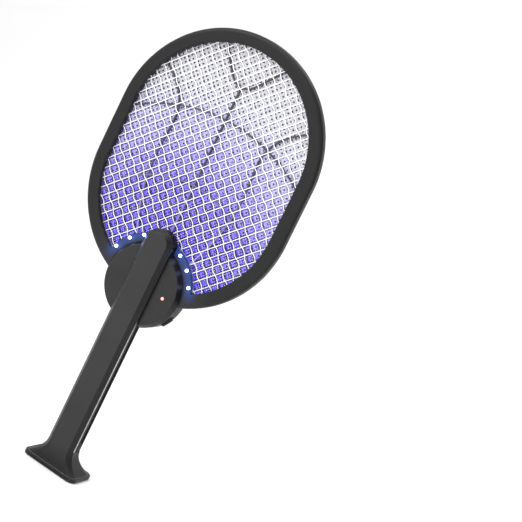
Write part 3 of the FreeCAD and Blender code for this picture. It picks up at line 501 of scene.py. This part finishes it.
def spans_inside(point, along):
    """The stretches of a straight line that lie inside the head's outline and outside the hub's disc.

    The line is point + s * along, both given as (x, z) with z measured from the hub's centre."""
    spans = []
    start = None
    for k in range(-SPAN_STEPS, SPAN_STEPS + 1):
        s = k * SPAN_STEP
        x = point[0] + s * along[0]
        z = point[1] + s * along[1]
        centre = min(max(z, LOWER_ARC_Z - HUB_Z), UPPER_ARC_Z - HUB_Z)
        inside = math.hypot(x, z - centre) < SCREEN_RADIUS and math.hypot(x, z) > COLLAR_SCREEN_RADIUS
        if inside and start is None:
            start = s
        if not inside and start is not None:
            spans.append((start, s - SPAN_STEP))
            start = None
    return spans


def wire_ring(bm, centre, across, width, thickness, sides):
    """One cross-section of a flat wire."""
    ring = []
    for c in range(sides):
        a = 2 * math.pi * (c + 0.5) / sides
        offset = across * (math.cos(a) * width / 2)
        offset += Vector((0, math.sin(a) * thickness / 2, 0))
        ring.append(bm.verts.new(centre + offset))
    return ring


def skin(bm, rings):
    """Joins a wire's cross-sections and closes its ends."""
    for ring_a, ring_b in zip(rings, rings[1:]):
        for c in range(len(ring_a)):
            d = (c + 1) % len(ring_a)
            bm.faces.new((ring_a[c], ring_a[d], ring_b[d], ring_b[c]))
    bm.faces.new(rings[0])
    bm.faces.new(rings[-1][::-1])


def woven_screen(name, node, material, slot, angles, pitch, width, thickness, sway, snake, sides,
                 per_crossing):
    """A plain-woven wire screen that stands for a CAD screen: two families of wires, over and under.

    The angles are those of the two families, and pitch is the distance between neighbouring wires. The
    wires sway from front to back, and those of the second family also snake from side to side. A wire has
    this many sides, and per_crossing steps from one crossing to the next."""
    low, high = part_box(node)
    middle_y = (low.y + high.y) / 2
    middle_z = SCREEN_MIDDLE_Z - HUB_Z
    bm = bmesh.new()
    directions = [(math.cos(math.radians(a)), math.sin(math.radians(a))) for a in angles]
    for family in (0, 1):
        along = directions[family]
        other = directions[1 - family]
        across = Vector((-along[1], 0, along[0]))
        crossing = pitch / abs(along[0] * other[1] - along[1] * other[0])  # between crossings on a wire
        sign = 1 if family == 0 else -1
        count = int(WEAVE_REACH / crossing) + 2
        for index in range(-count, count + 1):
            base = (other[0] * index * crossing, middle_z + other[1] * index * crossing)
            for first, last in spans_inside(base, along):
                if last - first < width:
                    continue
                steps = max(2, round((last - first) / crossing * per_crossing))
                rings = []
                for k in range(steps + 1):
                    s = first + (last - first) * k / steps
                    phase = math.pi * (s / crossing + index)
                    lift = sign * sway * math.cos(phase)
                    x = base[0] + s * along[0]
                    z = base[1] + s * along[1]
                    centre = Vector((x, middle_y + lift, HUB_Z + z))
                    centre += across * (family * snake * math.sin(phase))
                    rings.append(wire_ring(bm, centre, across, width, thickness, sides))
                skin(bm, rings)
    bmesh.ops.recalc_face_normals(bm, faces=bm.faces)
    mesh = bpy.data.meshes.new(name)
    bm.to_mesh(mesh)
    bm.free()
    for face in mesh.polygons:
        face.use_smooth = len(face.vertices) == 4
    piece = bpy.data.objects.new(name, mesh)
    bpy.context.scene.collection.objects.link(piece)
    mesh.materials.append(material)
    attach(piece, "head")
    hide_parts(node)


GUARD_WEAVE = {"angles": (45, 135), "pitch": GUARD_PITCH, "thickness": 0.42 * MM, "sway": 0.2 * MM,
               "snake": 0.8 * MM, "sides": 8, "per_crossing": 4}
GRID_WEAVE = {"angles": (49, 131), "pitch": 2.3 * MM, "thickness": 0.3 * MM, "sway": 0.2 * MM,
              "snake": 0.0, "sides": 4, "per_crossing": 1}
# the same guard wire twice: the front guard lit bright, the rear guard painted darker as shade behind it
# and lit violet near the hub
guard_bright = screen_wire("guard_wire", (0.88, 0.88, 0.90), 0.35, glow=0.0, painted_lamp_tint=0.15)
guard_shaded = screen_wire("guard_wire_shaded", (0.40, 0.40, 0.44), 0.4, glow=0.35, painted_lamp_tint=0.95)
grid_lit = screen_wire("grid_wire", (0.66, 0.66, 0.70), 0.4, glow=0.7, painted_lamp_tint=0.95, shaded=True)
woven_screen("woven_guard_front", "front_guard_mesh", guard_bright, "guard_wire",
             width=0.95 * MM, **GUARD_WEAVE)
woven_screen("woven_guard_rear", "rear_guard_mesh", guard_shaded, "guard_wire",
             width=1.05 * MM, **GUARD_WEAVE)
woven_screen("woven_live_grid", "high_voltage_grid", grid_lit, "grid_wire",
             width=2.3 * MM, **GRID_WEAVE)


# ---- studio -------------------------------------------------------------------------------------
def studio_sweep():
    """Pale floor that curves up into a backdrop, so that the camera sees no horizon."""
    half_width = 4.0
    front = -3.0
    bend_start = 1.4
    bend_radius = 0.9
    bend_steps = 24
    top = 4.2
    bm = bmesh.new()
    profile = [(front, 0.0), (bend_start, 0.0)]
    for k in range(1, bend_steps + 1):
        a = math.pi / 2 * k / bend_steps
        profile.append((bend_start + bend_radius * math.sin(a), bend_radius * (1 - math.cos(a))))
    profile.append((bend_start + bend_radius, top))
    columns = [[bm.verts.new((x, y, z)) for y, z in profile] for x in (-half_width, half_width)]
    for k in range(len(profile) - 1):
        bm.faces.new((columns[0][k], columns[1][k], columns[1][k + 1], columns[0][k + 1]))
    mesh = bpy.data.meshes.new("studio_sweep")
    bm.to_mesh(mesh)
    bm.free()
    for face in mesh.polygons:
        face.use_smooth = True
    sweep = bpy.data.objects.new("studio_sweep", mesh)
    bpy.context.scene.collection.objects.link(sweep)
    g = Graph("studio_paper")
    paper = g.mix(g.noise(3, 2), rgba(0.93, 0.93, 0.93), rgba(0.96, 0.96, 0.96))
    g.feed(paper, g.shader.inputs["Base Color"])
    g.shader.inputs["Roughness"].default_value = 0.95
    mesh.materials.append(g.material)


def softbox(name, place, target, size, power):
    """A square area light aimed at a point."""
    light = bpy.data.lights.new(name, "AREA")
    light.size = size
    light.energy = power
    lamp = bpy.data.objects.new(name, light)
    lamp.location = place
    lamp.rotation_mode = "QUATERNION"
    lamp.rotation_quaternion = (Vector(target) - Vector(place)).to_track_quat("-Z", "Y")
    bpy.context.scene.collection.objects.link(lamp)


def studio_lights():
    """Soft lights round the object and a white surround that gets dimmer towards the right."""
    aim = (0, 0, 0.24)
    softbox("key", (-0.9, -1.3, 1.5), aim, size=1.2, power=26)
    softbox("fill", (1.5, -1.0, 0.7), aim, size=1.3, power=5)
    softbox("strip", (0.35, -1.25, 0.35), aim, size=0.12, power=1.6)
    softbox("top", (0.1, 0.5, 2.0), aim, size=1.4, power=16)
    world = bpy.data.worlds.new("surround")
    world.use_nodes = True
    tree = world.node_tree
    coords = tree.nodes.new("ShaderNodeTexCoord")
    split = tree.nodes.new("ShaderNodeSeparateXYZ")
    across = tree.nodes.new("ShaderNodeMapRange")
    bright_side = -0.4
    dim_side = 0.9
    brightest = 1.05
    dimmest = 0.2
    for socket, number in zip(list(across.inputs)[1:5], (bright_side, dim_side, brightest, dimmest)):
        socket.default_value = number
    tree.links.new(coords.outputs["Generated"], split.inputs[0])
    tree.links.new(split.outputs["X"], across.inputs[0])
    tree.links.new(across.outputs[0], tree.nodes["Background"].inputs["Strength"])
    tree.nodes["Background"].inputs["Color"].default_value = (1, 1, 1, 1)
    bpy.context.scene.world = world


def lamp_lights():
    """Small blue lights in front of the lamps, which ride with the head and colour the collar."""
    for angle in LAMP_ANGLES:
        light = bpy.data.lights.new("lamp_light", "POINT")
        light.energy = 0.002
        light.color = (0.15, 0.35, 1.0)
        light.shadow_soft_size = 1.5 * MM
        lamp = bpy.data.objects.new("lamp_light", light)
        x = LAMP_CIRCLE * math.cos(math.radians(angle))
        z = LAMP_CIRCLE * math.sin(math.radians(angle))
        lamp.location = (x, LAMP_FRONT_Y - 4 * MM, HUB_Z + z)
        lamp.parent = frame["bodies"]["head"]
        bpy.context.scene.collection.objects.link(lamp)


def camera():
    """Camera to the right of the object and a little above it, rolled so that the foot is at lower left."""
    azimuth = math.radians(23.2)
    elevation = math.radians(6.2)
    roll = math.radians(25.8)
    distance = 1.2
    centre = Vector((0, RIM_FRONT_Y, SCREEN_MIDDLE_Z))
    back = Vector((math.sin(azimuth) * math.cos(elevation), -math.cos(azimuth) * math.cos(elevation),
                   math.sin(elevation)))
    level_right = Vector((0, 0, 1)).cross(back).normalized()
    level_up = back.cross(level_right)
    right = level_right * math.cos(roll) + level_up * math.sin(roll)
    up = back.cross(right)
    data = bpy.data.cameras.new("camera")
    data.lens = 89.3
    data.sensor_width = 36.0
    data.shift_x = 0.1171
    data.shift_y = -0.1792
    data.clip_start = 0.05
    camera_object = bpy.data.objects.new("camera", data)
    place = Matrix((right, up, back)).transposed().to_4x4()
    place.translation = centre + back * distance
    camera_object.matrix_world = place
    bpy.context.scene.collection.objects.link(camera_object)
    bpy.context.scene.camera = camera_object


studio_sweep()
studio_lights()
lamp_lights()
camera()
bpy.context.scene.view_settings.view_transform = "Standard"
